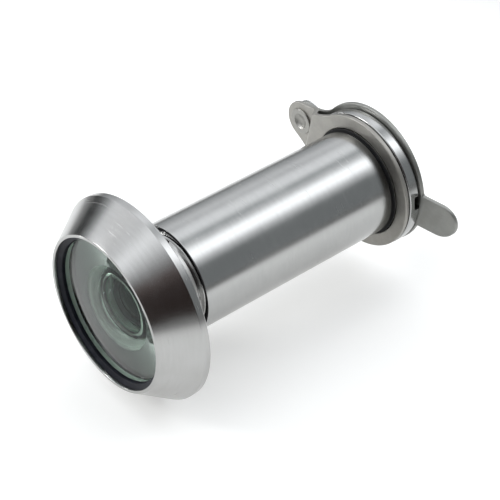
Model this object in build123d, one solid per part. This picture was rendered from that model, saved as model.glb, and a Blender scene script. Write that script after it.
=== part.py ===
from build123d import *
import math
import os

# Door viewer for a 14 mm hole, in millimetres.
# +Y runs along the viewer from the street side to the room side, and +Z is up.
# The origin is on the axis, in the bezel's seat: the face that lies on the outside of the door.

# Threaded tube and the barrel that screws over it.
# The flanks are the shares of the pitch at which a crest rises, is full, falls and ends.
BARREL_R = 7.0
BARREL_BORE_R = 6.33
MOUTH_Y = 4.26
THREAD_R = 6.25
THREAD_ROOT_R = 5.68
THREAD_PITCH = 1.0
THREAD_FLANKS = (0.1, 0.42, 0.58, 0.9)
THREAD_START_Y = 4.0
NECK_R = 6.15
NECK_TAPER = 0.3
SHANK_BORE_R = 5.0
SHANK_END_Y = 33.3

# Bezel: a cone that narrows towards the street, with a plain rim chamfered down to the seat
BEZEL_R = 13.18
BEZEL_RIM_Y = (-1.35, -0.5)
BEZEL_SEAT_R = 12.3
LIP_R = 10.17
LIP_Y = -5.76
LIP_THICKNESS = 0.42
LIP_ROUNDING = 0.12
LIP_INNER_R = 9.8
POCKET_R = 9.9
POCKET_FLOOR_Y = -1.7
STEP_R = 4.3
STEP_REAR_Y = -0.9

# Objective and the front group of lenses
OBJECTIVE_R = 9.2
OBJECTIVE_VERTEX_Y = -5.6
OBJECTIVE_EDGE_Y = -4.58
OBJECTIVE_REAR_Y = -1.9
OBJECTIVE_BOWL_R = 5.2
OBJECTIVE_BOWL_Y = -4.5
SEAL_BORE_R = 9.22
MASK_BORE_R = 4.7
GROUP_R = 4.97
SECOND_EDGE_Y = (STEP_REAR_Y, 1.5)
SECOND_VERTEX_Y = (-0.3, 0.6)
SPACER_BORE_R = 4.1
SPACER_END_Y = 3.36
THIRD_EDGE_Y = (3.6, 5.2)
THIRD_VERTEX_Y = (2.9, 5.9)
GROUP_RING_BORE_R = 4.0
GROUP_RING_Y = (5.46, 7.0)
BAFFLE_BORE_R = 4.6
BAFFLE_Y = (7.05, 31.5)

# Room end of the barrel: undercut, journal for the pivot plate, flange and eyepiece
UNDERCUT_R = 6.8
UNDERCUT_Y = (33.9, 34.2)
JOURNAL_R = 7.25
FLANGE_R = 9.1
FLANGE_Y = (35.15, 36.65)
FLANGE_ROUNDING = 0.22
SHOULDER_Y = 34.75
SHOULDER_BORE_R = 5.2
EYEPIECE_POCKET_R = 6.2
EYEPIECE_FLOOR_Y = 35.05
CUSHION_THICKNESS = 0.12
EYEPIECE_R = 6.1
EYEPIECE_EDGE = 0.65
EYEPIECE_SAG = 0.85
EYEPIECE_RING_R = 6.18
EYEPIECE_RING_BORE_R = 5.1
EYEPIECE_RING_END_Y = 36.3
EYEPIECE_RING_ANGLE = 90.0
COIN_SLOT_WIDTH = 1.9
COIN_SLOT_DEPTH = 0.8
COIN_SLOT_ANGLE = 5.0
SPANNER_SLOT = 0.8

# Pivot plate: a ring behind the barrel's flange, with an ear raised to the level of the cover
PLATE_R = 9.05
PLATE_BORE_R = 7.31
PLATE_Y = 34.4
PLATE_THICKNESS = 0.55
EAR_ANGLE = 168.5
EAR_DISTANCE = 12.3
EAR_R = 2.65
EAR_Y = 35.75
EAR_SLOPE = (9.62, 10.45)
EAR_WAIST_R = 16.0
BEND_ROUNDING = 0.6
WASHER_R = 8.8
WASHER_BORE_R = 7.37
WASHER_Y = (34.98, 35.12)

# Cover plate: a disc that turns on the rivet, with a finger tab bent towards the room.
# COVER_ANGLE is the direction from the rivet to the disc, TAB_ANGLE the one from disc to tab.
COVER_R = 9.45
COVER_REACH = 12.19
COVER_ANGLE = -9.9
COVER_Y = 36.75
COVER_THICKNESS = 0.5
COVER_EAR_R = 2.3
COVER_WAIST_R = 5.0
TAB_HALF_WIDTH = 2.45
TAB_ANGLE = -6.8
TAB_START = 9.0
TAB_END = 11.76
TAB_BEND = 15.0
TAB_ROOT_ROUNDING = 0.35

# Rivet, its bush and its spring washer
RIVET_R = 1.0
RIVET_HEAD_R = 1.8
RIVET_HEAD = 0.25
DIMPLE_R = 1.1
DIMPLE_DEPTH = 0.45
BUSH_R = 1.5
BUSH_END_Y = 37.45
SPRING_R = 2.3
SPRING_Y = (37.28, 37.43)
RIVET_TAIL = 0.5

RUNNING_GAP = 0.06
OVERSIZE = 1.0
SAME_PLACE = 0.001


def turned(points):
    """A solid of revolution about Y from (radius, y) points."""
    return revolve(make_face(Polyline(*points, close=True)), Axis.Y)


def ring(inner_r, outer_r, y0, y1):
    """A plain ring about Y."""
    return turned([(inner_r, y0), (outer_r, y0), (outer_r, y1), (inner_r, y1)])


def slab(outline, y0, y1):
    """An outline drawn in X and Z, as a solid from y0 to y1."""
    return extrude(Plane.XZ.offset(-y1) * outline, y1 - y0)


def polar(distance, degrees):
    """X and Z of a point at an angle from +X towards +Z."""
    angle = math.radians(degrees)
    return distance * math.cos(angle), distance * math.sin(angle)


def swung(shape, degrees):
    """The shape turned about Y, from +X towards +Z."""
    return Rot(0, -degrees, 0) * shape


def dome(radius, vertex_y, edge_y):
    """A spherical lens surface in section, from the axis to its edge."""
    sag = abs(edge_y - vertex_y)
    sphere_r = (radius**2 + sag**2) / (2 * sag)
    half_sag = sphere_r - math.sqrt(sphere_r**2 - (radius / 2) ** 2)
    half_y = vertex_y + math.copysign(half_sag, edge_y - vertex_y)
    return ThreePointArc((0, vertex_y), (radius / 2, half_y), (radius, edge_y))


def lens(front, rear, rim):
    """A lens between two domes: rim holds the points between their edges, front first."""
    back = rear @ 1
    edge = Polyline(front @ 1, *rim, back) if rim else Line(front @ 1, back)
    axis = Line(rear @ 0, front @ 0)
    return revolve(make_face([front, edge, rear, axis]), Axis.Y)


def rounded_corner(outward_r, y, rounding, side):
    """Points of an outer corner cut at 45 degrees twice, so that it reads as rounded."""
    soft = rounding * (1 - math.sqrt(0.5))
    corner = [
        (outward_r - rounding, y),
        (outward_r - soft, y + side * soft),
        (outward_r, y + side * rounding),
    ]
    return corner if side > 0 else corner[::-1]


def sheet_profile(front, thickness):
    """Section of a bent sheet in X and Y, with the front face's points given from left to right."""
    rear = []
    for i, (x, y) in enumerate(front):
        before = front[max(i - 1, 0) : max(i - 1, 0) + 2]
        after = front[min(i, len(front) - 2) : min(i, len(front) - 2) + 2]
        slopes = [math.atan2(b[1] - a[1], b[0] - a[0]) for a, b in (before, after)]
        mean = sum(slopes) / 2
        reach = thickness / math.cos((slopes[1] - slopes[0]) / 2)
        rear.append((x - reach * math.sin(mean), y + reach * math.cos(mean)))
    return Polyline(*front, *reversed(rear), close=True)


def bent_sheet(front, thickness, outline, half_width):
    """A sheet bent across X, trimmed to an outline drawn in X and Z."""
    section = make_face(sheet_profile(front, thickness))
    ends = (front[0][0], front[-1][0])
    bends = [v for v in section.vertices() if ends[0] + thickness < v.X < ends[1] - thickness]
    section = fillet(bends, BEND_ROUNDING)
    low = min(y for _, y in front) - OVERSIZE
    high = max(y for _, y in front) + OVERSIZE
    return extrude(section, half_width, both=True) & slab(outline, low, high)


def spanner_slots(width, depth, length, end_y, degrees=0.0):
    """A bar across the axis that cuts two slots into a ring's room-side face."""
    bar = Box(2 * length, 2 * depth, width)
    return swung(Pos(0, end_y, 0) * bar, degrees)


def objective_housing():
    """Bezel, lens pocket and threaded tube, turned in one piece."""
    outside = [
        (THREAD_ROOT_R, THREAD_START_Y),
        (NECK_R, THREAD_START_Y - NECK_TAPER),
        (NECK_R, 0),
        (BEZEL_SEAT_R, 0),
        (BEZEL_R, BEZEL_RIM_Y[1]),
        (BEZEL_R, BEZEL_RIM_Y[0]),
        (LIP_R, LIP_Y + LIP_ROUNDING),
        (LIP_R - LIP_ROUNDING, LIP_Y),
        (LIP_INNER_R, LIP_Y),
        (LIP_INNER_R, LIP_Y + LIP_THICKNESS),
        (POCKET_R, LIP_Y + LIP_THICKNESS),
        (POCKET_R, POCKET_FLOOR_Y),
        (STEP_R, POCKET_FLOOR_Y),
        (STEP_R, STEP_REAR_Y),
        (SHANK_BORE_R, STEP_REAR_Y),
        (SHANK_BORE_R, SHANK_END_Y),
        (THREAD_ROOT_R, SHANK_END_Y),
    ]
    crests = []
    turns = int((SHANK_END_Y - THREAD_START_Y) / THREAD_PITCH)
    for turn in reversed(range(turns)):
        rise, full, fall, end = [
            THREAD_START_Y + (turn + share) * THREAD_PITCH for share in THREAD_FLANKS
        ]
        crests += [(THREAD_ROOT_R, end), (THREAD_R, fall), (THREAD_R, full), (THREAD_ROOT_R, rise)]
    return turned(outside + crests)


def objective_seal():
    """Black ring between the pocket's wall and the objective, under the lip."""
    return ring(SEAL_BORE_R, POCKET_R - RUNNING_GAP / 2, LIP_Y + LIP_THICKNESS, OBJECTIVE_REAR_Y)


def objective_lens():
    """Negative meniscus: a shallow dome towards the street and a deep bowl behind it."""
    front = dome(OBJECTIVE_R, OBJECTIVE_VERTEX_Y, OBJECTIVE_EDGE_Y)
    bowl = dome(OBJECTIVE_BOWL_R, OBJECTIVE_BOWL_Y, OBJECTIVE_REAR_Y)
    return lens(front, bowl, [(OBJECTIVE_R, OBJECTIVE_REAR_Y)])


def aperture_ring():
    """Thin black mask behind the objective's rim."""
    return ring(MASK_BORE_R, POCKET_R - RUNNING_GAP, OBJECTIVE_REAR_Y, POCKET_FLOOR_Y)


def second_lens():
    """Biconcave lens against the step in the tube."""
    return lens(
        dome(GROUP_R, SECOND_VERTEX_Y[0], SECOND_EDGE_Y[0]),
        dome(GROUP_R, SECOND_VERTEX_Y[1], SECOND_EDGE_Y[1]),
        [],
    )


def middle_spacer():
    """Ring that keeps the second and third lenses apart."""
    return ring(SPACER_BORE_R, GROUP_R, SECOND_EDGE_Y[1], SPACER_END_Y)


def third_lens():
    """Biconvex lens that closes the front group."""
    return lens(
        dome(GROUP_R, THIRD_VERTEX_Y[0], THIRD_EDGE_Y[0]),
        dome(GROUP_R, THIRD_VERTEX_Y[1], THIRD_EDGE_Y[1]),
        [],
    )


def lens_retaining_ring():
    """Slotted ring that clamps the front group against the step."""
    body = ring(GROUP_RING_BORE_R, GROUP_R, *GROUP_RING_Y)
    return body - spanner_slots(SPANNER_SLOT, SPANNER_SLOT / 2, GROUP_R, GROUP_RING_Y[1])


def baffle_tube():
    """Matt black liner that stops glare in the threaded tube."""
    return ring(BAFFLE_BORE_R, GROUP_R, *BAFFLE_Y)


def barrel():
    """Sleeve with the room-side flange, its eyepiece pocket and two coin slots."""
    body = turned(
        [
            (BARREL_BORE_R, MOUTH_Y),
            *rounded_corner(BARREL_R, MOUTH_Y, LIP_ROUNDING, 1),
            (BARREL_R, UNDERCUT_Y[0]),
            (UNDERCUT_R, UNDERCUT_Y[0]),
            (UNDERCUT_R, UNDERCUT_Y[1]),
            (JOURNAL_R, UNDERCUT_Y[1]),
            (JOURNAL_R, FLANGE_Y[0]),
            (FLANGE_R - LIP_ROUNDING, FLANGE_Y[0]),
            (FLANGE_R, FLANGE_Y[0] + LIP_ROUNDING),
            *rounded_corner(FLANGE_R, FLANGE_Y[1], FLANGE_ROUNDING, -1),
            (EYEPIECE_POCKET_R, FLANGE_Y[1]),
            (EYEPIECE_POCKET_R, EYEPIECE_FLOOR_Y),
            (SHOULDER_BORE_R, EYEPIECE_FLOOR_Y),
            (SHOULDER_BORE_R, SHOULDER_Y),
            (BARREL_BORE_R, SHOULDER_Y),
        ]
    )
    slots = spanner_slots(
        COIN_SLOT_WIDTH, COIN_SLOT_DEPTH, FLANGE_R + OVERSIZE, FLANGE_Y[1], COIN_SLOT_ANGLE
    )
    middle = ring(0, EYEPIECE_POCKET_R, SHOULDER_Y, FLANGE_Y[1] + OVERSIZE)
    return body - (slots - middle)


def eyepiece_cushion():
    """Thin ring under the eyepiece."""
    top = EYEPIECE_FLOOR_Y + CUSHION_THICKNESS
    return ring(SHOULDER_BORE_R + RUNNING_GAP, EYEPIECE_R, EYEPIECE_FLOOR_Y, top)


def eyepiece_lens():
    """Plano-convex lens, its dome towards the tube."""
    edge_y = EYEPIECE_FLOOR_Y + CUSHION_THICKNESS
    rear_y = edge_y + EYEPIECE_EDGE
    front = dome(SHOULDER_BORE_R, edge_y - EYEPIECE_SAG, edge_y)
    rim = Polyline(front @ 1, (EYEPIECE_R, edge_y), (EYEPIECE_R, rear_y), (0, rear_y))
    return revolve(make_face([front, rim, Line((0, rear_y), front @ 0)]), Axis.Y)


def eyepiece_retaining_ring():
    """Slotted ring that holds the eyepiece in the flange."""
    start_y = EYEPIECE_FLOOR_Y + CUSHION_THICKNESS + EYEPIECE_EDGE
    body = ring(EYEPIECE_RING_BORE_R, EYEPIECE_RING_R, start_y, EYEPIECE_RING_END_Y)
    depth = (EYEPIECE_RING_END_Y - start_y) / 2
    return body - spanner_slots(
        SPANNER_SLOT, depth, EYEPIECE_RING_R, EYEPIECE_RING_END_Y, EYEPIECE_RING_ANGLE
    )


def friction_washer():
    """Thin washer between the pivot plate and the barrel's flange."""
    return ring(WASHER_BORE_R, WASHER_R, *WASHER_Y)


def waisted(disc_r, ear_r, distance, waist_r):
    """Outline of a disc at the origin and a smaller one along +X, joined through a hollow waist."""
    reach = disc_r + waist_r
    x = (distance**2 + reach**2 - (ear_r + waist_r) ** 2) / (2 * distance)
    z = math.sqrt(reach**2 - x**2)
    disc_x, disc_z = x * disc_r / reach, z * disc_r / reach
    share = ear_r / (ear_r + waist_r)
    ear_x, ear_z = distance + (x - distance) * share, z * share
    corners = [(disc_x, disc_z), (disc_x, -disc_z), (ear_x, -ear_z), (ear_x, ear_z)]
    neck = make_face(Polyline(*corners, close=True))
    neck = neck - Pos(x, z) * Circle(waist_r) - Pos(x, -z) * Circle(waist_r)
    return Circle(disc_r) + neck + Pos(distance, 0) * Circle(ear_r)


def pivot_plate():
    """Ring around the barrel with an ear that steps up behind the flange's edge."""
    outline = waisted(PLATE_R, EAR_R, EAR_DISTANCE, EAR_WAIST_R)
    tip = EAR_DISTANCE + EAR_R + OVERSIZE
    front = [(-tip, PLATE_Y), (EAR_SLOPE[0], PLATE_Y), (EAR_SLOPE[1], EAR_Y), (tip, EAR_Y)]
    sheet = bent_sheet(front, PLATE_THICKNESS, outline, PLATE_R + OVERSIZE)
    bore = ring(0, PLATE_BORE_R, PLATE_Y - OVERSIZE, PLATE_Y + OVERSIZE)
    hole = slab(Pos(EAR_DISTANCE, 0) * Circle(RIVET_R), EAR_Y - OVERSIZE, EAR_Y + OVERSIZE)
    return swung(sheet - bore - hole, EAR_ANGLE)


def on_rivet(shape):
    """A shape made about the Y axis, moved to the rivet."""
    x, z = polar(EAR_DISTANCE, EAR_ANGLE)
    return Pos(x, 0, z) * shape


def cover_rivet():
    """Rivet with a dimpled head on the door side and a flat tail on the room side."""
    head_y = EAR_Y - RIVET_HEAD
    tail_y = BUSH_END_Y + RIVET_TAIL
    half = RIVET_TAIL / 2
    body = turned(
        [
            (0, head_y),
            (RIVET_HEAD_R - RIVET_HEAD / 2, head_y),
            (RIVET_HEAD_R, head_y + RIVET_HEAD / 2),
            (RIVET_HEAD_R, EAR_Y),
            (RIVET_R, EAR_Y),
            (RIVET_R, BUSH_END_Y),
            (RIVET_HEAD_R, BUSH_END_Y),
            (RIVET_HEAD_R, BUSH_END_Y + half),
            (RIVET_HEAD_R - half, tail_y),
            (0, tail_y),
        ]
    )
    rim = Line((DIMPLE_R, head_y), (0, head_y))
    bowl = dome(DIMPLE_R, head_y + DIMPLE_DEPTH, head_y)
    dimple = revolve(make_face([bowl, rim, Line((0, head_y), bowl @ 0)]), Axis.Y)
    return on_rivet(body - dimple)


def rivet_bush():
    """Bush around the rivet that the cover turns on."""
    return on_rivet(ring(RIVET_R, BUSH_R, EAR_Y + PLATE_THICKNESS, BUSH_END_Y))


def rivet_spring_washer():
    """Spring washer that presses on the cover, so that it stays where it is put."""
    return on_rivet(ring(BUSH_R + RUNNING_GAP, SPRING_R, *SPRING_Y))


def cover_plate():
    """Disc over the eyepiece with the rivet's ear at one side and a bent tab at the other."""
    ear_turn = COVER_ANGLE - TAB_ANGLE
    disc = Rot(0, 0, ear_turn) * waisted(COVER_R, COVER_EAR_R, COVER_REACH, COVER_WAIST_R)
    tab_length = TAB_END - TAB_START / 2
    tab = Pos(-TAB_END + tab_length / 2, 0) * Rectangle(tab_length, 2 * TAB_HALF_WIDTH)
    tab += Pos(-TAB_END, 0) * Circle(TAB_HALF_WIDTH)
    outline = disc + tab
    root_x = -math.sqrt(COVER_R**2 - TAB_HALF_WIDTH**2)
    roots = [v for v in outline.vertices() if abs(v.X - root_x) < SAME_PLACE]
    outline = fillet(roots, TAB_ROOT_ROUNDING)

    tip = TAB_END + TAB_HALF_WIDTH + OVERSIZE
    rise = (tip - TAB_START) * math.tan(math.radians(TAB_BEND))
    far = COVER_REACH + COVER_EAR_R + OVERSIZE
    front = [(-tip, COVER_Y + rise), (-TAB_START, COVER_Y), (far, COVER_Y)]
    sheet = bent_sheet(front, COVER_THICKNESS, outline, COVER_R + OVERSIZE)
    hole = Pos(*polar(COVER_REACH, ear_turn)) * Circle(BUSH_R + RUNNING_GAP)
    sheet -= slab(hole, COVER_Y - OVERSIZE, COVER_Y + OVERSIZE)
    x, z = polar(COVER_REACH, COVER_ANGLE)
    return on_rivet(Pos(x, 0, z) * swung(sheet, TAB_ANGLE + 180))


NODES = [
    objective_housing,
    objective_seal,
    objective_lens,
    aperture_ring,
    second_lens,
    middle_spacer,
    third_lens,
    lens_retaining_ring,
    baffle_tube,
    barrel,
    eyepiece_cushion,
    eyepiece_lens,
    eyepiece_retaining_ring,
    friction_washer,
    pivot_plate,
    cover_rivet,
    rivet_bush,
    rivet_spring_washer,
    cover_plate,
]

os.makedirs("parts", exist_ok=True)
for make in NODES:
    export_step(make(), f"parts/{make.__name__}.step")
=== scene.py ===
import math

import bmesh
import bpy
import numpy as np
from mathutils import Matrix, Vector


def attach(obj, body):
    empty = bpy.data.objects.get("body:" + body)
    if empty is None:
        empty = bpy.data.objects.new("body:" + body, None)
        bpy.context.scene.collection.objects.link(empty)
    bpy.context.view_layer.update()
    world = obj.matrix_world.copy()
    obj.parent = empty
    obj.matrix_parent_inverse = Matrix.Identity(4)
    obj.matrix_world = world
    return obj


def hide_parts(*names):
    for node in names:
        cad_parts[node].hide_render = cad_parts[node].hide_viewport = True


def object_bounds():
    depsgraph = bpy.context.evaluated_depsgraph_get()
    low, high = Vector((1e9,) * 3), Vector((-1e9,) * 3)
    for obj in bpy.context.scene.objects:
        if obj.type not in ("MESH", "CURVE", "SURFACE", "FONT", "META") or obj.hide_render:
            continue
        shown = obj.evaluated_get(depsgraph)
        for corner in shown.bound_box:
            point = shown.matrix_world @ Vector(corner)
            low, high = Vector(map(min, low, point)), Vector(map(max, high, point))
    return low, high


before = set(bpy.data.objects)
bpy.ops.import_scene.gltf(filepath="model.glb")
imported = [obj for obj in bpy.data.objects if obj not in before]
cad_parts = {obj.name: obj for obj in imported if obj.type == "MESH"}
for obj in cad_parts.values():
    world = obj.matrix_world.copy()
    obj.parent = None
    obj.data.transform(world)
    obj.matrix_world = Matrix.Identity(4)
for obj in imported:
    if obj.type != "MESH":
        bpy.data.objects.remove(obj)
cad_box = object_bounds()

# Door viewer. Shapes are built in millimetres about the viewer's axis, +Y, from the street side to the
# room side, and scaled to metres at the end.
MM = 0.001
SEGMENTS = 160
ARC_STEPS = 5
HOLD = 0.05
SHARP_DEGREES = 38.0

# Threaded tube and bezel
THREAD_R = 6.25
THREAD_ROOT_R = 5.68
THREAD_PITCH = 1.0
THREAD_START_Y = 4.0
NECK_R = 6.15
NECK_END_Y = 3.7
SHANK_BORE_R = 5.0
SHANK_END_Y = 33.3
BEZEL_R = 13.18
BEZEL_RIM_Y = (-1.35, -0.5)
BEZEL_SEAT_R = 12.3
LIP_R = 10.17
LIP_Y = -5.76
LIP_THICKNESS = 0.42
LIP_INNER_R = 9.8
POCKET_R = 9.9
POCKET_FLOOR_Y = -1.7
STEP_R = 4.3
STEP_REAR_Y = -0.9

# Front group of lenses
OBJECTIVE_R = 9.2
OBJECTIVE_VERTEX_Y = -5.6
OBJECTIVE_EDGE_Y = -4.58
OBJECTIVE_REAR_Y = -1.9
BOWL_R = 5.2
BOWL_Y = -4.5
SEAL_BORE_R = 9.22
SEAL_LIP_Y = -5.0
MASK_BORE_R = 4.7
GROUP_R = 4.97
SECOND_LENS = ((-0.3, STEP_REAR_Y), (0.6, 1.5))
THIRD_LENS = ((2.9, 3.6), (5.9, 5.2))
SPACER_BORE_R = 4.1
SPACER_Y = (1.5, 3.36)
CLAMP_BORE_R = 4.0
CLAMP_Y = (5.46, 7.0)
BAFFLE_BORE_R = 4.62
BAFFLE_GROOVE_R = 4.78
BAFFLE_GROOVE_PITCH = 0.8
BAFFLE_Y = (7.05, 31.5)

# Barrel, flange and eyepiece
BARREL_R = 7.0
BARREL_BORE_R = 6.33
BARREL_THREAD_DEPTH = 0.22
BARREL_THREAD_END_Y = 30.0
MOUTH_Y = 4.26
MOUTH_FLARE = 0.3
UNDERCUT_R = 6.8
UNDERCUT_Y = (33.9, 34.2)
JOURNAL_R = 7.25
FLANGE_R = 9.1
FLANGE_Y = (35.15, 36.65)
SHOULDER_Y = 34.75
SHOULDER_BORE_R = 5.2
EYEPIECE_POCKET_R = 6.2
EYEPIECE_FLOOR_Y = 35.05
EYEPIECE_R = 6.1
EYEPIECE_Y = (35.17, 35.82)
EYEPIECE_SAG = 0.85
EYEPIECE_RING_R = 6.18
EYEPIECE_RING_BORE_R = 5.1
EYEPIECE_RING_END_Y = 36.3
COIN_SLOT_WIDTH = 1.9
COIN_SLOT_DEPTH = 0.8
COIN_SLOT_ANGLE = 5.0
COIN_SLOT_ROUNDING = 0.18
SPANNER_SLOT = 0.8
SPANNER_ROUNDING = 0.08

# Pivot plate, washer, cover and rivet
PLATE_R = 9.05
PLATE_BORE_R = 7.31
PLATE_Y = 34.4
PLATE_THICKNESS = 0.55
EAR_ANGLE = 168.5
EAR_DISTANCE = 12.3
EAR_R = 2.65
EAR_Y = 35.75
EAR_SLOPE = (9.62, 10.45)
EAR_WAIST_R = 16.0
WASHER_BORE_R = 7.37
WASHER_R = 8.8
WASHER_Y = (34.98, 35.12)
COVER_R = 9.45
COVER_REACH = 12.19
COVER_ANGLE = -9.9
COVER_Y = 36.75
COVER_THICKNESS = 0.5
COVER_EAR_R = 2.3
COVER_WAIST_R = 5.0
TAB_HALF_WIDTH = 2.45
TAB_ANGLE = -6.8
TAB_START = 9.0
TAB_END = 11.76
TAB_BEND = 15.0
TAB_ROOT = 0.35
BEND_ROUNDING = 0.6
RIVET_R = 1.0
RIVET_HEAD_R = 1.8
RIVET_HEAD = 0.25
DIMPLE_R = 1.1
DIMPLE_DEPTH = 0.45
BUSH_R = 1.5
BUSH_END_Y = 37.45
SPRING_R = 2.3
SPRING_Y = (37.28, 37.43)
RUNNING_GAP = 0.06
RIVET_TAIL = 0.5


# ---------------------------------------------------------------- outlines

def along(points, closed, i):
    """The corner i, and the unit vectors and lengths from it to its neighbours."""
    here = Vector(points[i][:2])
    before = Vector(points[i - 1][:2]) - here
    after = Vector(points[(i + 1) % len(points)][:2]) - here
    return here, before, after


def soften(points, closed=True):
    """Corners (a, b, rounding) as an outline with arcs, and a point held just past each arc's ends."""
    out = []
    for i, (a, b, rounding) in enumerate(points):
        ends = not closed and i in (0, len(points) - 1)
        if not rounding or ends:
            out.append((a, b))
            continue
        here, before, after = along(points, closed, i)
        half = before.angle(after) / 2
        room = 0.45 * min(before.length, after.length)
        reach = min(rounding / math.tan(half), room)
        radius = reach * math.tan(half)
        before.normalize()
        after.normalize()
        centre = here + (before + after).normalized() * (radius / math.sin(half))
        start, end = here + before * reach, here + after * reach
        first = math.atan2(start.y - centre.y, start.x - centre.x)
        swing = math.atan2(end.y - centre.y, end.x - centre.x) - first
        swing = (swing + math.pi) % (2 * math.pi) - math.pi
        hold = min(HOLD, room - reach)
        if hold > HOLD / 4:
            out.append(tuple(start + before * hold))
        for k in range(ARC_STEPS + 1):
            t = first + swing * k / ARC_STEPS
            out.append((centre.x + radius * math.cos(t), centre.y + radius * math.sin(t)))
        if hold > HOLD / 4:
            out.append(tuple(end + after * hold))
    return out


def dome(radius, vertex_y, edge_y, steps=28):
    """Points of a spherical surface in section, from the axis to its edge."""
    sag = edge_y - vertex_y
    sphere = (radius**2 + sag**2) / (2 * abs(sag))
    far = math.asin(radius / sphere)
    points = []
    for k in range(steps + 1):
        t = far * k / steps
        points.append((sphere * math.sin(t), vertex_y + math.copysign(sphere * (1 - math.cos(t)), sag)))
    return points


def arc(cx, cz, radius, start, end, step=2.5):
    """Points of an arc from start to end, in degrees."""
    count = max(3, round(abs(end - start) / step))
    turns = [math.radians(start + (end - start) * k / count) for k in range(count + 1)]
    return [(cx + radius * math.cos(t), cz + radius * math.sin(t)) for t in turns]


def polar(distance, degrees):
    """X and Z of a point at an angle from +X towards +Z."""
    return distance * math.cos(math.radians(degrees)), distance * math.sin(math.radians(degrees))


# ------------------------------------------------------------------ meshes

def lathe(outline, closed=True):
    """A mesh of (radius, y) points turned about Y."""
    bm = bmesh.new()
    rings = []
    for radius, y in outline:
        count = SEGMENTS if radius > 1e-5 else 1
        ring = []
        for i in range(count):
            t = 2 * math.pi * i / SEGMENTS
            ring.append(bm.verts.new((radius * math.cos(t), y, radius * math.sin(t))))
        rings.append(ring)
    following = rings[1:] + rings[:1] if closed else rings[1:]
    for a, b in zip(rings, following):
        for i in range(SEGMENTS):
            j = (i + 1) % SEGMENTS
            corners = [a[i % len(a)], a[j % len(a)], b[j % len(b)], b[i % len(b)]]
            corners = list(dict.fromkeys(corners))
            if len(corners) > 2:
                bm.faces.new(corners)
    return bm


def helix(bm, y0, y1, base, depth, start, run_in, run_out):
    """A right-hand thread's flanks about Y: base(y) plus depth at each crest, faded in and out."""
    profile = [(0.0, 0.0), (0.1, 0.0), (0.15, 0.08), (0.37, 0.92), (0.43, 1.0), (0.5, 1.0)]
    profile += [(0.57, 1.0), (0.63, 0.92), (0.85, 0.08), (0.9, 0.0)]
    rows = []
    for turn in range(int((y1 - y0) / THREAD_PITCH) + 3):
        for share, height in profile:
            rows.append((turn - 1 + share, height))
    grid = []
    for along_pitch, height in rows:
        ring = []
        for i in range(SEGMENTS + 1):
            share = i / SEGMENTS
            y = start + (along_pitch - share) * THREAD_PITCH
            y = min(max(y, y0), y1)
            fade_in = min(max((y - y0) / run_in, 0), 1)
            fade_out = min(max((y1 - y) / run_out, 0), 1)
            fade = fade_in**2 * (3 - 2 * fade_in) * fade_out**2 * (3 - 2 * fade_out)
            radius = base(y) + depth * height * fade
            t = 2 * math.pi * share
            ring.append(bm.verts.new((radius * math.cos(t), y, radius * math.sin(t))))
        grid.append(ring)
    for a, b in zip(grid, grid[1:]):
        for i in range(SEGMENTS):
            bm.faces.new((a[i], a[i + 1], b[i + 1], b[i]))
    bmesh.ops.remove_doubles(bm, verts=bm.verts, dist=2e-4)
    flat = [f for f in bm.faces if f.calc_area() < 1e-9]
    bmesh.ops.delete(bm, geom=flat, context="FACES")
    loose = [v for v in bm.verts if not v.link_faces]
    bmesh.ops.delete(bm, geom=loose, context="VERTS")


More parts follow.
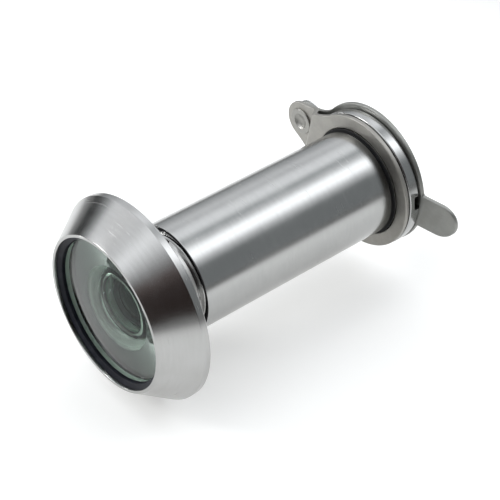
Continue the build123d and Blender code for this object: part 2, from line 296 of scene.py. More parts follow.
def sheet(loops, thickness, front, rounding=(0.13, 0.07)):
    """A punched sheet: loops in X and Z, outer one first, and the front face's bent section."""
    slopes = [math.atan2(b[1] - a[1], b[0] - a[0]) for a, b in zip(front, front[1:])]
    rear = []
    for i, (x, y) in enumerate(front):
        before, after = slopes[max(i - 1, 0)], slopes[min(i, len(slopes) - 1)]
        mean, reach = (before + after) / 2, thickness / math.cos((after - before) / 2)
        rear.append((x - reach * math.sin(mean), y + reach * math.cos(mean)))
    curves = []
    for line in (front, rear):
        curves.append(np.array(soften([(x, y, BEND_ROUNDING) for x, y in line], closed=False)))

    rows = [(rounding[0] + 0.3, 0.0)]
    for k in range(ARC_STEPS + 1):
        t = math.pi / 2 * k / ARC_STEPS
        rows.append((rounding[0] * (1 - math.sin(t)), rounding[0] * (1 - math.cos(t))))
    for k in range(ARC_STEPS + 1):
        t = math.pi / 2 * (1 - k / ARC_STEPS)
        rows.append((rounding[1] * (1 - math.sin(t)), thickness - rounding[1] * (1 - math.cos(t))))
    rows.append((rounding[1] + 0.3, thickness))

    bm = bmesh.new()
    caps = ([], [])
    for number, loop in enumerate(loops):
        pts = np.array(loop)
        tangent = np.roll(pts, -1, 0) - np.roll(pts, 1, 0)
        normal = np.stack([-tangent[:, 1], tangent[:, 0]], 1)
        normal /= np.linalg.norm(normal, axis=1)[:, None]
        area = np.sum(pts[:, 0] * np.roll(pts[:, 1], -1) - pts[:, 1] * np.roll(pts[:, 0], -1))
        inward = 1 if (area > 0) == (number == 0) else -1
        rings = []
        for inset, depth in rows:
            moved = pts + normal * inset * inward
            rings.append([bm.verts.new((x, depth, z)) for x, z in moved])
        count = len(pts)
        for a, b in zip(rings, rings[1:]):
            for i in range(count):
                j = (i + 1) % count
                bm.faces.new((a[i], a[j], b[j], b[i]))
        for cap, ring in zip(caps, (rings[0], rings[-1])):
            cap += [bm.edges.get((ring[i], ring[(i + 1) % count])) for i in range(count)]
    for cap in caps:
        bmesh.ops.triangle_fill(bm, edges=cap, use_beauty=True, use_dissolve=False)

    xs = sorted({round(float(x), 4) for curve in curves for x, _ in curve[1:-1]})
    for x in xs:
        everything = list(bm.verts) + list(bm.edges) + list(bm.faces)
        bmesh.ops.bisect_plane(bm, geom=everything, plane_co=(x, 0, 0), plane_no=(1, 0, 0), dist=1e-5)
    for v in bm.verts:
        near = np.interp(v.co.x, curves[0][:, 0], curves[0][:, 1])
        far = np.interp(v.co.x, curves[1][:, 0], curves[1][:, 1])
        v.co.y = near + (far - near) * v.co.y / thickness
    return bm


def move(bm, degrees=0.0, shift=(0, 0, 0)):
    """Turns a mesh about Y, from +X towards +Z, then shifts it."""
    bm.transform(Matrix.Translation(shift) @ Matrix.Rotation(-math.radians(degrees), 4, "Y"))
    return bm


def carve(bm, cutters):
    """Cuts bars (length, height, width, rounding, y, degrees) out of a mesh."""
    bmesh.ops.recalc_face_normals(bm, faces=bm.faces)
    mesh = bpy.data.meshes.new("carved")
    bm.to_mesh(mesh)
    bm.free()
    work = bpy.data.objects.new("carved", mesh)
    bpy.context.collection.objects.link(work)
    tools = []
    for length, height, width, rounding, y, degrees, offset in cutters:
        bar = bmesh.new()
        bmesh.ops.create_cube(bar, size=1)
        bmesh.ops.scale(bar, vec=(length, height, width), verts=bar.verts)
        low = [e for e in bar.edges if all(v.co.y < 0 for v in e.verts)]
        bmesh.ops.bevel(bar, geom=low, offset=rounding, segments=3, profile=0.5, affect="EDGES")
        move(bar, 0, (offset, y, 0))
        move(bar, degrees)
        shape = bpy.data.meshes.new("bar")
        bar.to_mesh(shape)
        bar.free()
        tool = bpy.data.objects.new("bar", shape)
        bpy.context.collection.objects.link(tool)
        tools.append(tool)
        cut = work.modifiers.new("cut", "BOOLEAN")
        cut.object, cut.operation, cut.solver = tool, "DIFFERENCE", "EXACT"
    bpy.context.view_layer.update()
    done = bpy.data.meshes.new_from_object(work.evaluated_get(bpy.context.evaluated_depsgraph_get()))
    result = bmesh.new()
    result.from_mesh(done)
    for spare in (work, *tools):
        bpy.data.objects.remove(spare)
    return result


def piece(name, bm, body, nodes, materials, choose=None, at=(0, 0, 0)):
    """A finished piece from a mesh in millimetres, riding on a body and standing for CAD nodes."""
    bmesh.ops.recalc_face_normals(bm, faces=bm.faces)
    mesh = bpy.data.meshes.new(name)
    bm.to_mesh(mesh)
    bm.free()
    if choose:
        for face in mesh.polygons:
            face.material_index = choose(face)
    mesh.transform(Matrix.Scale(MM, 4))
    for material in materials:
        mesh.materials.append(material)
    mesh.shade_smooth()
    mesh.set_sharp_from_angle(angle=math.radians(SHARP_DEGREES))
    obj = bpy.data.objects.new(name, mesh)
    bpy.context.collection.objects.link(obj)
    obj.location = [c * MM for c in at]
    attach(obj, body)
    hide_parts(*nodes)
    return obj


# --------------------------------------------------------------- materials

class Term:
    """A value in a node tree, so that shader maths reads as sums."""

    def __init__(self, tree, out):
        self.tree, self.out = tree, out

    def math(self, kind, *others, clamp=False):
        node = self.tree.nodes.new("ShaderNodeMath")
        node.operation, node.use_clamp = kind, clamp
        for socket, value in zip(node.inputs, (self, *others)):
            if isinstance(value, Term):
                self.tree.links.new(value.out, socket)
            else:
                socket.default_value = value
        return Term(self.tree, node.outputs[0])

    def __add__(self, other):
        return self.math("ADD", other)

    def __sub__(self, other):
        return self.math("SUBTRACT", other)

    def __mul__(self, other):
        return self.math("MULTIPLY", other)

    def ramp(self, low, high, to_low=0.0, to_high=1.0):
        """A smooth step from to_low at low to to_high at high."""
        node = self.tree.nodes.new("ShaderNodeMapRange")
        node.interpolation_type = "SMOOTHSTEP"
        self.tree.links.new(self.out, node.inputs["Value"])
        ends = {"From Min": low, "From Max": high, "To Min": to_low, "To Max": to_high}
        for key, value in ends.items():
            if isinstance(value, Term):
                self.tree.links.new(value.out, node.inputs[key])
            else:
                node.inputs[key].default_value = value
        return Term(self.tree, node.outputs["Result"])


def axes(tree, source):
    """The three parts of a vector socket."""
    split = tree.nodes.new("ShaderNodeSeparateXYZ")
    tree.links.new(source, split.inputs[0])
    return [Term(tree, out) for out in split.outputs]


def vector(tree, *parts):
    """A vector socket from three terms."""
    join = tree.nodes.new("ShaderNodeCombineXYZ")
    for socket, part in zip(join.inputs, parts):
        if isinstance(part, Term):
            tree.links.new(part.out, socket)
        else:
            socket.default_value = part
    return join.outputs[0]


def noise(tree, where, scale, detail=2.0, roughness=0.5):
    """Fractal noise at a vector socket."""
    node = tree.nodes.new("ShaderNodeTexNoise")
    tree.links.new(where, node.inputs["Vector"])
    node.inputs["Scale"].default_value = scale
    node.inputs["Detail"].default_value = detail
    node.inputs["Roughness"].default_value = roughness
    return Term(tree, node.outputs["Fac"])


def tint(tree, amount, low, high):
    """A colour between low and high."""
    mix = tree.nodes.new("ShaderNodeMix")
    mix.data_type = "RGBA"
    tree.links.new(amount.out, mix.inputs["Factor"])
    mix.inputs["A"].default_value = (*low, 1)
    mix.inputs["B"].default_value = (*high, 1)
    return mix.outputs["Result"]


def bump(tree, height, distance, strength=1.0, under=None):
    """A normal from a height between 0 and 1, where 1 is distance metres."""
    node = tree.nodes.new("ShaderNodeBump")
    node.inputs["Strength"].default_value = strength
    node.inputs["Distance"].default_value = distance
    tree.links.new(height.out, node.inputs["Height"])
    if under is not None:
        tree.links.new(under, node.inputs["Normal"])
    return node.outputs["Normal"]


def material(name, **values):
    """A material with a Principled shader, and its object coordinates in millimetres."""
    made = bpy.data.materials.new(name)
    made.use_nodes = True
    tree = made.node_tree
    shader = tree.nodes["Principled BSDF"]
    for key, value in values.items():
        shader.inputs[key.replace("_", " ")].default_value = value
    coords = tree.nodes.new("ShaderNodeTexCoord")
    scaled = tree.nodes.new("ShaderNodeVectorMath")
    scaled.operation = "SCALE"
    scaled.inputs["Scale"].default_value = 1 / MM
    tree.links.new(coords.outputs["Object"], scaled.inputs[0])
    return made, tree, shader, scaled.outputs[0]


def turned_metal(name, light, dark, gloss, marks, scratch, painted_shade_end=None):
    """Satin metal with turning marks in circles about Y, smears and a few deeper scratches.

    The last argument darkens the colour towards the barrel's end at the plate, as painted shade: the y
    where it begins, the y where it is full, and the share of colour left.
    """
    made, tree, shader, place = material(name, Metallic=1.0)
    x, y, z = axes(tree, place)
    radius = (x * x + z * z).math("SQRT")
    across = y + radius * 0.7
    around = vector(tree, across, (x.math("DIVIDE", radius)) * 1.2, (z.math("DIVIDE", radius)) * 1.2)
    fine = noise(tree, vector(tree, across * 14.0, x * 0.12, z * 0.12), 1.0, 3.0, 0.6)
    bands = noise(tree, around, 2.6, 3.0, 0.65)
    smears = noise(tree, place, 0.22, 4.0, 0.6)
    lines = noise(tree, vector(tree, across * 5.0, x * 0.2, z * 0.2), 1.0, 2.0).ramp(0.64, 0.72)
    patches = noise(tree, place, 0.3, 2.0).ramp(0.5, 0.62)
    cuts = lines * patches
    shade = (smears * 0.6 + bands * 0.4).ramp(0.3, 0.7)
    colour = tint(tree, shade, dark, light)
    # Painted shade: the colour darkens towards the plate, but not where the radius passes the barrel's
    if painted_shade_end:
        unshaded_y, full_shade_y, share = painted_shade_end
        shaded_colour = tree.nodes.new("ShaderNodeVectorMath")
        shaded_colour.operation = "SCALE"
        flange = radius.ramp(BARREL_R + 0.05, BARREL_R + 0.1)
        fade = y.ramp(unshaded_y, full_shade_y, 1.0, share)
        tree.links.new(colour, shaded_colour.inputs[0])
        tree.links.new(fade.math("MAXIMUM", flange).out, shaded_colour.inputs["Scale"])
        colour = shaded_colour.outputs[0]
    tree.links.new(colour, shader.inputs["Base Color"])
    rough = fine * (marks * 0.5) + smears.ramp(0.35, 0.7) * (marks * 0.7) + cuts * scratch + gloss
    tree.links.new(rough.out, shader.inputs["Roughness"])
    normal = bump(tree, fine, 0.000002)
    normal = bump(tree, cuts, -0.0000012, 1.0, normal)
    tree.links.new(normal, shader.inputs["Normal"])
    return made


def sheet_metal(name, light, dark, gloss, grain):
    """Rolled, punched and plated sheet: straight grain along X, cloudy plating and fine pits."""
    made, tree, shader, place = material(name, Metallic=1.0)
    x, y, z = axes(tree, place)
    rolled = noise(tree, vector(tree, x * 0.6, y * 2.0, z * 9.0), 1.0, 4.0, 0.65)
    clouds = noise(tree, place, 0.45, 4.0, 0.6)
    pits = noise(tree, place, 7.0, 2.0).ramp(0.66, 0.78)
    tree.links.new(tint(tree, clouds.ramp(0.3, 0.7), dark, light), shader.inputs["Base Color"])
    rough = rolled * grain + clouds * 0.1 + pits * 0.12 + gloss
    tree.links.new(rough.out, shader.inputs["Roughness"])
    normal = bump(tree, rolled, 0.000002)
    normal = bump(tree, pits, -0.000004, 1.0, normal)
    tree.links.new(normal, shader.inputs["Normal"])
    return made


def dull(name, light, dark, rough, grain_scale, relief, shine=0.4):
    """Moulded plastic, rubber or paint with a fine grain and dust."""
    made, tree, shader, place = material(name, Specular_IOR_Level=shine)
    grain = noise(tree, place, grain_scale, 3.0, 0.6)
    dust = noise(tree, place, 0.9, 4.0, 0.6).ramp(0.45, 0.75)
    tree.links.new(tint(tree, dust, dark, light), shader.inputs["Base Color"])
    tree.links.new((grain * 0.25 + dust * 0.1 + rough).out, shader.inputs["Roughness"])
    tree.links.new(bump(tree, grain, relief), shader.inputs["Normal"])
    return made


COATING = (0.04, 0.05, 0.05, 1)


def glass(name, colour, ior):
    """Polished and coated glass with faint smears."""
    made, tree, shader, place = material(
        name, Base_Color=(*colour, 1), Transmission_Weight=1.0, IOR=ior, Specular_Tint=COATING
    )
    smears = noise(tree, place, 0.5, 4.0, 0.6).ramp(0.5, 0.8)
    specks = noise(tree, place, 9.0, 1.0).ramp(0.74, 0.8)
    tree.links.new((smears * 0.02 + specks * 0.1 + 0.004).out, shader.inputs["Roughness"])
    return made


# Metals: light and dark shades, roughness, depth of the turning marks, and of the scratches
BEZEL = turned_metal("bezel_satin", (0.43, 0.43, 0.425), (0.39, 0.388, 0.38), 0.17, 0.07, 0.12)
# The barrel's last entry is painted shade towards the plate: where it begins, where it is full, and the
# share of colour left
BARREL = turned_metal(
    "barrel_satin", (0.43, 0.432, 0.425), (0.39, 0.392, 0.388), 0.15, 0.07, 0.16, (32.2, 33.7, 0.35)
)
PLATE = sheet_metal("plate_nickel", (0.36, 0.35, 0.325), (0.305, 0.297, 0.277), 0.38, 0.1)
COVER = sheet_metal("cover_nickel", (0.32, 0.322, 0.305), (0.27, 0.272, 0.258), 0.38, 0.1)
RIVET = turned_metal("rivet_satin", (0.33, 0.325, 0.305), (0.27, 0.265, 0.25), 0.34, 0.1, 0.1)
SPRING = turned_metal("spring_bright", (0.5, 0.5, 0.5), (0.4, 0.4, 0.4), 0.12, 0.08, 0.1)
# The neck is the bezel's metal made much lighter: a painted highlight
NECK_PAINTED_LIGHT = turned_metal("neck_painted_highlight", (0.72, 0.72, 0.705), (0.62, 0.62, 0.605), 0.42, 0.1, 0.1)
RUBBER = dull("seal_rubber", (0.02, 0.022, 0.03), (0.006, 0.007, 0.012), 0.3, 3.0, 0.00001, 0.15)
PLASTIC = dull("black_paint", (0.014, 0.014, 0.014), (0.006, 0.006, 0.007), 0.5, 6.0, 0.00001, 0.12)
# Black for the barrel's mouth, bore, undercut and coin slots, where it is painted shade
SHADE_BLACK = dull("painted_shade_black", (0.016, 0.016, 0.017), (0.006, 0.006, 0.007), 0.6, 5.0, 0.000008)
GLASS = glass("optical_glass_clear", (0.72, 0.84, 0.77), 1.46)
GROUND = dull("ground_edge", (0.92, 0.96, 0.92), (0.80, 0.88, 0.82), 0.5, 8.0, 0.000005)

# ------------------------------------------------------------------ pieces

housing = lathe(
    soften(
        [
            (NECK_R, NECK_END_Y, 0),
            (NECK_R, 0, 0.08),
            (BEZEL_SEAT_R, 0, 0.08),
            (BEZEL_R, BEZEL_RIM_Y[1], 0.12),
            (BEZEL_R, BEZEL_RIM_Y[0], 0.14),
            (LIP_R, LIP_Y, 0.14),
            (LIP_INNER_R, LIP_Y, 0.08),
            (LIP_INNER_R, LIP_Y + LIP_THICKNESS, 0.06),
            (POCKET_R, LIP_Y + LIP_THICKNESS, 0),
            (POCKET_R, POCKET_FLOOR_Y, 0.05),
            (STEP_R, POCKET_FLOOR_Y, 0.08),
            (STEP_R, STEP_REAR_Y, 0.08),
            (SHANK_BORE_R, STEP_REAR_Y, 0),
            (SHANK_BORE_R, SHANK_END_Y, 0.15),
            (THREAD_ROOT_R, SHANK_END_Y, 0),
        ],
        closed=False,
    ),
    closed=False,
)


def shank(y):
    """Radius under the tube's thread: the neck, then the root."""
    share = min(max((y - NECK_END_Y) / (THREAD_START_Y - NECK_END_Y), 0), 1)
    return NECK_R + (THREAD_ROOT_R - NECK_R) * share


helix(housing, NECK_END_Y, SHANK_END_Y, shank, THREAD_R - THREAD_ROOT_R, THREAD_START_Y, 1.1, 0.7)


def is_neck(face):
    """The plain neck behind the bezel, which the door hides once it is fitted, and which takes a lighter
    copy of the bezel's metal as a painted highlight.
    """
    radius = math.hypot(face.center.x, face.center.z)
    return int(0.1 < face.center.y < NECK_END_Y and radius > SHANK_BORE_R + 0.2)


piece(
    "bezel_with_tube", housing, "housing", ["objective_housing"], [BEZEL, NECK_PAINTED_LIGHT], is_neck
)

seal = lathe(
    soften(
        [
            (SEAL_BORE_R, SEAL_LIP_Y, 0.12),
            (POCKET_R - 0.03, LIP_Y + LIP_THICKNESS, 0.05),
            (POCKET_R - 0.03, OBJECTIVE_REAR_Y, 0.05),
            (SEAL_BORE_R, OBJECTIVE_REAR_Y, 0.05),
        ]
    )
)
piece("objective_seal_ring", seal, "housing", ["objective_seal"], [RUBBER])

front = dome(OBJECTIVE_R - 0.1, OBJECTIVE_VERTEX_Y, OBJECTIVE_EDGE_Y - 0.03, 40)
bowl = dome(BOWL_R, BOWL_Y, OBJECTIVE_REAR_Y, 40)
edge = [
    (OBJECTIVE_R, OBJECTIVE_EDGE_Y + 0.1),
    (OBJECTIVE_R, OBJECTIVE_REAR_Y - 0.1),
    (OBJECTIVE_R - 0.1, OBJECTIVE_REAR_Y),
]
objective = lathe(front + edge + [(BOWL_R + 0.1, OBJECTIVE_REAR_Y), *reversed(bowl)], closed=False)


def ground_beyond(radius):
    """Picks a lens's ground rim, which takes the second material."""
    return lambda face: int(math.hypot(face.center.x, face.center.z) > radius)


piece(
    "objective_glass", objective, "housing", ["objective_lens"], [GLASS, GROUND],
    ground_beyond(OBJECTIVE_R - 0.12),
)

mask = lathe(
    soften(
        [
            (MASK_BORE_R, OBJECTIVE_REAR_Y + 0.01, 0.04),
            (POCKET_R - 0.06, OBJECTIVE_REAR_Y + 0.01, 0.03),
            (POCKET_R - 0.06, POCKET_FLOOR_Y, 0.03),
            (MASK_BORE_R, POCKET_FLOOR_Y, 0.04),
        ]
    )
)
piece("aperture_mask", mask, "housing", ["aperture_ring"], [PLASTIC])

for name, node, (front_y, rear_y) in (
    ("second_glass", "second_lens", SECOND_LENS),
    ("third_glass", "third_lens", THIRD_LENS),
):
    near, far = dome(GROUP_R, *front_y), dome(GROUP_R, *rear_y)
    body = lathe(near + list(reversed(far)), closed=False)
    piece(
        name, body, "housing", [node], [GLASS, GROUND], ground_beyond(GROUP_R - 0.02)
    )


def plain_ring(inner, outer, y0, y1, rounding):
    """A turned ring with rounded edges."""
    corners = [(inner, y0), (outer, y0), (outer, y1), (inner, y1)]
    return lathe(soften([(radius, y, rounding) for radius, y in corners]))


piece(
    "lens_spacer", plain_ring(SPACER_BORE_R, GROUP_R, *SPACER_Y, 0.1), "housing", ["middle_spacer"],
    [PLASTIC],
)
clamp = plain_ring(CLAMP_BORE_R, GROUP_R, *CLAMP_Y, 0.08)
clamp = carve(
    clamp,
    [(2.0, 0.8, SPANNER_SLOT, SPANNER_ROUNDING, CLAMP_Y[1], turn, GROUP_R) for turn in (0, 180)],
)
piece("lens_clamp_ring", clamp, "housing", ["lens_retaining_ring"], [PLASTIC])

baffle = [(GROUP_R, BAFFLE_Y[0], 0), (GROUP_R, BAFFLE_Y[1], 0)]
y = BAFFLE_Y[1]
while y > BAFFLE_Y[0] + 0.55:
    baffle += [(BAFFLE_BORE_R, y, 0), (BAFFLE_BORE_R, y - 0.35, 0)]
    baffle += [(BAFFLE_GROOVE_R, y - 0.4, 0), (BAFFLE_GROOVE_R, y - 0.75, 0)]
    y -= BAFFLE_GROOVE_PITCH
baffle += [(BAFFLE_BORE_R, BAFFLE_Y[0], 0)]
piece("glare_baffle", lathe(soften(baffle)), "housing", ["baffle_tube"], [PLASTIC])

outer = soften(
    [
        (BARREL_BORE_R + BARREL_THREAD_DEPTH, MOUTH_Y + MOUTH_FLARE, 0),
        (BARREL_BORE_R + MOUTH_FLARE, MOUTH_Y, 0.05),
        (BARREL_R, MOUTH_Y, 0.08),
        (BARREL_R, UNDERCUT_Y[0], 0.06),
        (UNDERCUT_R, UNDERCUT_Y[0], 0.06),
        (UNDERCUT_R, UNDERCUT_Y[1], 0.06),
        (JOURNAL_R, UNDERCUT_Y[1], 0.05),
        (JOURNAL_R, FLANGE_Y[0], 0.05),
        (FLANGE_R, FLANGE_Y[0], 0.14),
        (FLANGE_R, FLANGE_Y[1], 0.12),
        (EYEPIECE_POCKET_R, FLANGE_Y[1], 0.1),
        (EYEPIECE_POCKET_R, EYEPIECE_FLOOR_Y, 0.05),
        (SHOULDER_BORE_R, EYEPIECE_FLOOR_Y, 0.08),
        (SHOULDER_BORE_R, SHOULDER_Y, 0.05),
        (BARREL_BORE_R, SHOULDER_Y, 0),
        (BARREL_BORE_R, BARREL_THREAD_END_Y, 0),
    ],
    closed=False,
)
barrel = lathe(outer, closed=False)


def bore(y):
    """Radius under the barrel's thread, which widens towards the mouth."""
    share = max(0, 1 - (y - MOUTH_Y - MOUTH_FLARE) / 0.5)
    return BARREL_BORE_R + BARREL_THREAD_DEPTH * share


helix(
    barrel, MOUTH_Y + MOUTH_FLARE, BARREL_THREAD_END_Y, bore,
    BARREL_THREAD_DEPTH, THREAD_START_Y + THREAD_PITCH / 2, 0.6, 2.0,
)
reach = FLANGE_R - EYEPIECE_POCKET_R + 2
middle = (FLANGE_R + EYEPIECE_POCKET_R) / 2
coin_bar = (reach, 2 * COIN_SLOT_DEPTH, COIN_SLOT_WIDTH, COIN_SLOT_ROUNDING, FLANGE_Y[1])
barrel = carve(barrel, [(*coin_bar, COIN_SLOT_ANGLE + turn, middle) for turn in (0, 180)])


def is_painted_shade(face):
    """The barrel's end face, its bore, the undercut and the coin slots, painted black as painted shade.
    """
    radius = math.hypot(face.center.x, face.center.z)
    c, s = polar(1, COIN_SLOT_ANGLE)
    across = abs(face.center.z * c - face.center.x * s)
    deep = FLANGE_Y[1] - COIN_SLOT_DEPTH - 0.01 < face.center.y < FLANGE_Y[1] - 0.01
    if deep and across < COIN_SLOT_WIDTH / 2 + 0.01 and EYEPIECE_POCKET_R < radius < FLANGE_R - 0.02:
        return 1
    mouth = face.center.y < MOUTH_Y + 0.02 or (face.center.y < SHOULDER_Y and radius < UNDERCUT_R - 0.1)
    undercut = UNDERCUT_Y[0] < face.center.y < UNDERCUT_Y[1] + 0.1 and radius != BARREL_R
    return int(mouth or undercut)


piece(
    "barrel_with_flange", barrel, "barrel", ["barrel"], [BARREL, SHADE_BLACK], is_painted_shade
)

piece(
    "eyepiece_gasket",
    plain_ring(SHOULDER_BORE_R + RUNNING_GAP, EYEPIECE_R, EYEPIECE_FLOOR_Y, EYEPIECE_Y[0], 0.04),
    "barrel", ["eyepiece_cushion"], [RUBBER],
)
near = dome(SHOULDER_BORE_R, EYEPIECE_Y[0] - EYEPIECE_SAG, EYEPIECE_Y[0])
rim = [
    (EYEPIECE_R, EYEPIECE_Y[0]),
    (EYEPIECE_R, EYEPIECE_Y[1] - 0.06),
    (EYEPIECE_R - 0.06, EYEPIECE_Y[1]),
]
rim += [(r, EYEPIECE_Y[1]) for r in (5.9, 4.0, 2.0, 0.0)]
piece(
    "eyepiece_glass", lathe(near + rim, closed=False), "barrel", ["eyepiece_lens"],
    [GLASS, GROUND], ground_beyond(EYEPIECE_R - 0.02),
)
ring = plain_ring(EYEPIECE_RING_BORE_R, EYEPIECE_RING_R, EYEPIECE_Y[1], EYEPIECE_RING_END_Y, 0.08)
spanner_bar = (2.4, 0.5, SPANNER_SLOT, SPANNER_ROUNDING, EYEPIECE_RING_END_Y)
ring = carve(ring, [(*spanner_bar, turn, 5.9) for turn in (90, 270)])
piece("eyepiece_ring", ring, "barrel", ["eyepiece_retaining_ring"], [BARREL])

piece(
    "friction_washer_disc", plain_ring(WASHER_BORE_R, WASHER_R, *WASHER_Y, 0.04),
    "washer", ["friction_washer"], [SPRING],
)


def waisted(disc_r, ear_r, distance, waist_r):
    """Half outline from an ear's tip at +X through a hollow waist, and the angle of the disc's start."""
    x = (distance**2 + (disc_r + waist_r) ** 2 - (ear_r + waist_r) ** 2) / (2 * distance)
    z = math.sqrt((disc_r + waist_r) ** 2 - x**2)
    lean = math.degrees(math.atan2(z, x))
    ear_end = math.degrees(math.atan2(z, x - distance))
    points = arc(distance, 0, ear_r, 0, ear_end)
    points += arc(x, z, waist_r, ear_end - 180, lean - 180, 1.0)[1:-1]
    return points, lean


def below(points):
    """Points mirrored in the X axis, in the opposite order."""
    return [(x, -z) for x, z in reversed(points)]


def spun(points, degrees):
    """Points turned about the origin, from +X towards +Z."""
    c, s = polar(1, degrees)
    return [(x * c - z * s, x * s + z * c) for x, z in points]


half, lean = waisted(PLATE_R, EAR_R, EAR_DISTANCE, EAR_WAIST_R)
half += arc(0, 0, PLATE_R, lean, 180)
outline = half + below(half[1:-1])
plate_bore = arc(0, 0, PLATE_BORE_R, 0, 357.5)
hole = arc(EAR_DISTANCE, 0, RIVET_R, 0, 350, 10)
far = EAR_DISTANCE + EAR_R + 1
bends = [(-far, PLATE_Y), (EAR_SLOPE[0], PLATE_Y), (EAR_SLOPE[1], EAR_Y), (far, EAR_Y)]
plate = move(sheet([outline, plate_bore, hole], PLATE_THICKNESS, bends), EAR_ANGLE)
piece("pivot_plate_sheet", plate, "plate", ["pivot_plate"], [PLATE])

# The cover is drawn with its tab along -X, and its ear a few degrees off +X
ear, lean = waisted(COVER_R, COVER_EAR_R, COVER_REACH, COVER_WAIST_R)
ear_turn = COVER_ANGLE - TAB_ANGLE
root_x = math.sqrt((COVER_R + TAB_ROOT) ** 2 - (TAB_HALF_WIDTH + TAB_ROOT) ** 2)
root = math.degrees(math.atan2(TAB_HALF_WIDTH + TAB_ROOT, root_x))
tab = arc(-root_x, TAB_HALF_WIDTH + TAB_ROOT, TAB_ROOT, -root, -90, 12)[1:]
tab += arc(-TAB_END, 0, TAB_HALF_WIDTH, 90, 180)
outline = spun(ear, ear_turn) + arc(0, 0, COVER_R, lean + ear_turn, 180 - root)
outline += tab + below(tab[:-1])
outline += arc(0, 0, COVER_R, 180 + root, 360 + ear_turn - lean) + spun(below(ear[1:]), ear_turn)
hole = arc(*polar(COVER_REACH, ear_turn), BUSH_R + RUNNING_GAP, 0, 350, 10)
tip = TAB_END + TAB_HALF_WIDTH + 1
rise = (tip - TAB_START) * math.tan(math.radians(TAB_BEND))
far = COVER_REACH + COVER_EAR_R + 1
bends = [(-tip, COVER_Y + rise), (-TAB_START, COVER_Y), (far, COVER_Y)]
rivet_x, rivet_z = polar(EAR_DISTANCE, EAR_ANGLE)
reach_x, reach_z = polar(COVER_REACH, COVER_ANGLE)
cover = sheet([outline, hole], COVER_THICKNESS, bends)
cover = move(cover, TAB_ANGLE + 180, (rivet_x + reach_x, 0, rivet_z + reach_z))
piece("cover_sheet", cover, "cover", ["cover_plate"], [COVER])

head_y = EAR_Y - RIVET_HEAD
tail_y = BUSH_END_Y + RIVET_TAIL
dimple = dome(DIMPLE_R, head_y + DIMPLE_DEPTH, head_y, 12)
shaft = soften(
    [
        (DIMPLE_R, head_y, 0),
        (RIVET_HEAD_R, head_y, 0.12),
        (RIVET_HEAD_R, EAR_Y, 0),
        (RIVET_R, EAR_Y, 0),
        (RIVET_R, BUSH_END_Y, 0),
        (RIVET_HEAD_R, BUSH_END_Y, 0.1),
        (RIVET_HEAD_R, tail_y, 0.3),
        (0, tail_y, 0),
    ],
    closed=False,
)
rivet = lathe(dimple[:-1] + shaft, closed=False)
centre = (rivet_x, 0, rivet_z)
piece("rivet", rivet, "plate", ["cover_rivet"], [RIVET], None, centre)
piece(
    "bush", plain_ring(RIVET_R, BUSH_R, EAR_Y + PLATE_THICKNESS, BUSH_END_Y, 0.06),
    "plate", ["rivet_bush"], [RIVET], None, centre,
)
piece(
    "spring_washer", plain_ring(BUSH_R + RUNNING_GAP, SPRING_R, *SPRING_Y, 0.05),
    "plate", ["rivet_spring_washer"], [SPRING], None, centre,
)

# ------------------------------------------------------------------- stage

# The floor's colour and glow are painted light: bright under the viewer and dimming further out, which
# is what the glass mirrors
FLOOR_R = 30.0
FLOOR_BRIGHT_TO, FLOOR_DIM_FROM = 65.0, 170.0
FLOOR_FAR = 0.22
FLOOR_PAINTED_GLOW = 0.3
floor_bm = bmesh.new()
bmesh.ops.create_circle(floor_bm, cap_ends=True, segments=64, radius=FLOOR_R)
floor_mesh = bpy.data.meshes.new("floor")
floor_bm.to_mesh(floor_mesh)
floor_bm.free()
floor = bpy.data.objects.new("floor", floor_mesh)
floor.location = (0, 0, cad_box[0].z)
bpy.context.collection.objects.link(floor)
paper, tree, shader, place = material("floor_paper", Roughness=0.9, Specular_IOR_Level=0.1)
fibres = noise(tree, place, 0.05, 3.0)
x, y, z = axes(tree, place)
# Painted light: the floor's colour and its own glow fall off with distance from the viewer
painted_light_pool = (x * x + y * y).math("SQRT").ramp(FLOOR_BRIGHT_TO, FLOOR_DIM_FROM, 1.0, FLOOR_FAR)
near = tree.nodes.new("ShaderNodeVectorMath")
near.operation = "SCALE"
tree.links.new(tint(tree, fibres, (0.83, 0.83, 0.82), (0.86, 0.86, 0.85)), near.inputs[0])
tree.links.new(painted_light_pool.out, near.inputs["Scale"])
tree.links.new(near.outputs[0], shader.inputs["Base Color"])
shader.inputs["Emission Color"].default_value = (1, 1, 0.985, 1)
tree.links.new((painted_light_pool * FLOOR_PAINTED_GLOW).out, shader.inputs["Emission Strength"])
floor_mesh.materials.append(paper)

# Soft studio light, as panels round the viewer's axis. The angle about it is 0 at +X and 90 at the top.
# INDOORS lies towards the room side and OUTDOORS towards the street side, each as a list of
# (angle, brightness, tint) stops. A stop as bright as FULL is white. Two small windows add a sparkle.
world = bpy.data.worlds.new("studio")
bpy.context.scene.world = world
world.use_nodes = True
tree = world.node_tree
background = tree.nodes["Background"]
coords = tree.nodes.new("ShaderNodeTexCoord")
x, y, z = axes(tree, coords.outputs["Generated"])
turn = z.math("ARCTAN2", x) * math.degrees(1)


FULL = 3.0


def panels(stops):
    """Soft panels from a list of stops between 0 and 180 degrees."""
    node = tree.nodes.new("ShaderNodeValToRGB")
    tree.links.new((turn * (1 / 180)).out, node.inputs["Fac"])
    ramp = node.color_ramp
    ramp.elements[0].position = 0
    ramp.elements[1].position = 1
    while len(ramp.elements) < len(stops):
        ramp.elements.new(0.5)
    for element, (degrees, bright, shade) in zip(ramp.elements, stops):
        element.position = degrees / 180
        element.color = (*(bright / FULL * c for c in shade), 1)
    return node.outputs["Color"]


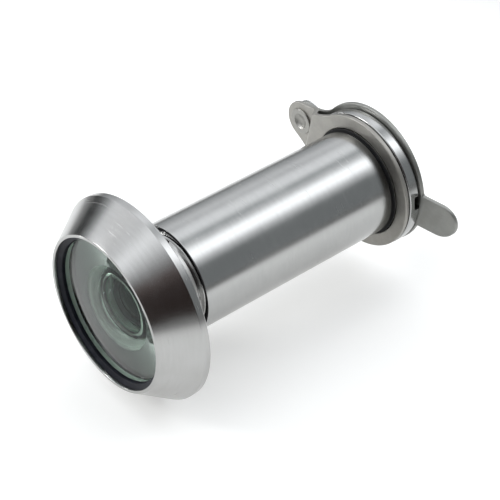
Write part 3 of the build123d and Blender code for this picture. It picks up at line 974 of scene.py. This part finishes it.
SLATE, BROWN, PLAIN = (0.94, 1.0, 1.03), (1.35, 0.97, 0.9), (0.975, 1.0, 1.03)
INDOORS = [
    (0, 0.34, SLATE), (40, 0.33, SLATE), (53, 1.1, PLAIN), (65, 2.7, PLAIN), (76, 2.7, PLAIN),
    (87, 1.2, PLAIN), (100, 0.65, SLATE), (113, 1.6, PLAIN), (126, 1.5, PLAIN), (138, 1.0, PLAIN),
    (150, 1.15, PLAIN), (163, 0.78, PLAIN), (180, 0.5, SLATE),
]
OUTDOORS = [
    (0, 0.03, BROWN), (40, 0.03, BROWN), (54, 0.1, BROWN), (66, 0.45, PLAIN), (82, 1.2, PLAIN),
    (98, 1.9, PLAIN), (112, 1.1, PLAIN), (132, 1.05, PLAIN), (152, 1.35, PLAIN), (161, 0.35, SLATE),
    (170, 0.05, SLATE), (180, 0.04, SLATE),
]
WINDOWS = [((-0.62, -0.62, 0.49), 4.5), ((-0.91, -0.40, 0.11), 3.5)]
WINDOW_BRIGHT = 20.0
studio = tree.nodes.new("ShaderNodeMix")
studio.data_type = "RGBA"
tree.links.new(y.ramp(0.0, 0.42).out, studio.inputs["Factor"])
tree.links.new(panels(OUTDOORS), studio.inputs["A"])
tree.links.new(panels(INDOORS), studio.inputs["B"])
sky = studio.outputs["Result"]
for (east, north, up), degrees in WINDOWS:
    size = math.radians(degrees)
    facing = x * east + y * north + z * up
    pane = facing.ramp(math.cos(size * 1.2), math.cos(size * 0.8), 0.0, WINDOW_BRIGHT / FULL)
    total = tree.nodes.new("ShaderNodeVectorMath")
    tree.links.new(sky, total.inputs[0])
    tree.links.new(vector(tree, pane, pane, pane), total.inputs[1])
    sky = total.outputs[0]
tree.links.new(sky, background.inputs["Color"])
background.inputs["Strength"].default_value = FULL

scene = bpy.context.scene
scene.view_settings.view_transform = "Standard"

# Camera: azimuth 49.56 degrees, elevation 38.89 degrees
camera_data = bpy.data.cameras.new("camera")
camera_data.lens = 120.65
camera_data.sensor_width = 36
camera_data.clip_start, camera_data.clip_end = 0.005, 100
camera = bpy.data.objects.new("camera", camera_data)
bpy.context.collection.objects.link(camera)
camera.location = (0.1224, -0.08775, 0.12773)
azimuth, elevation = math.radians(49.562), math.radians(38.886)
level = math.cos(elevation)
back = Vector((math.sin(azimuth) * level, -math.cos(azimuth) * level, math.sin(elevation)))
camera.rotation_mode = "QUATERNION"
camera.rotation_quaternion = (-back).to_track_quat("-Z", "Y")
scene.camera = camera
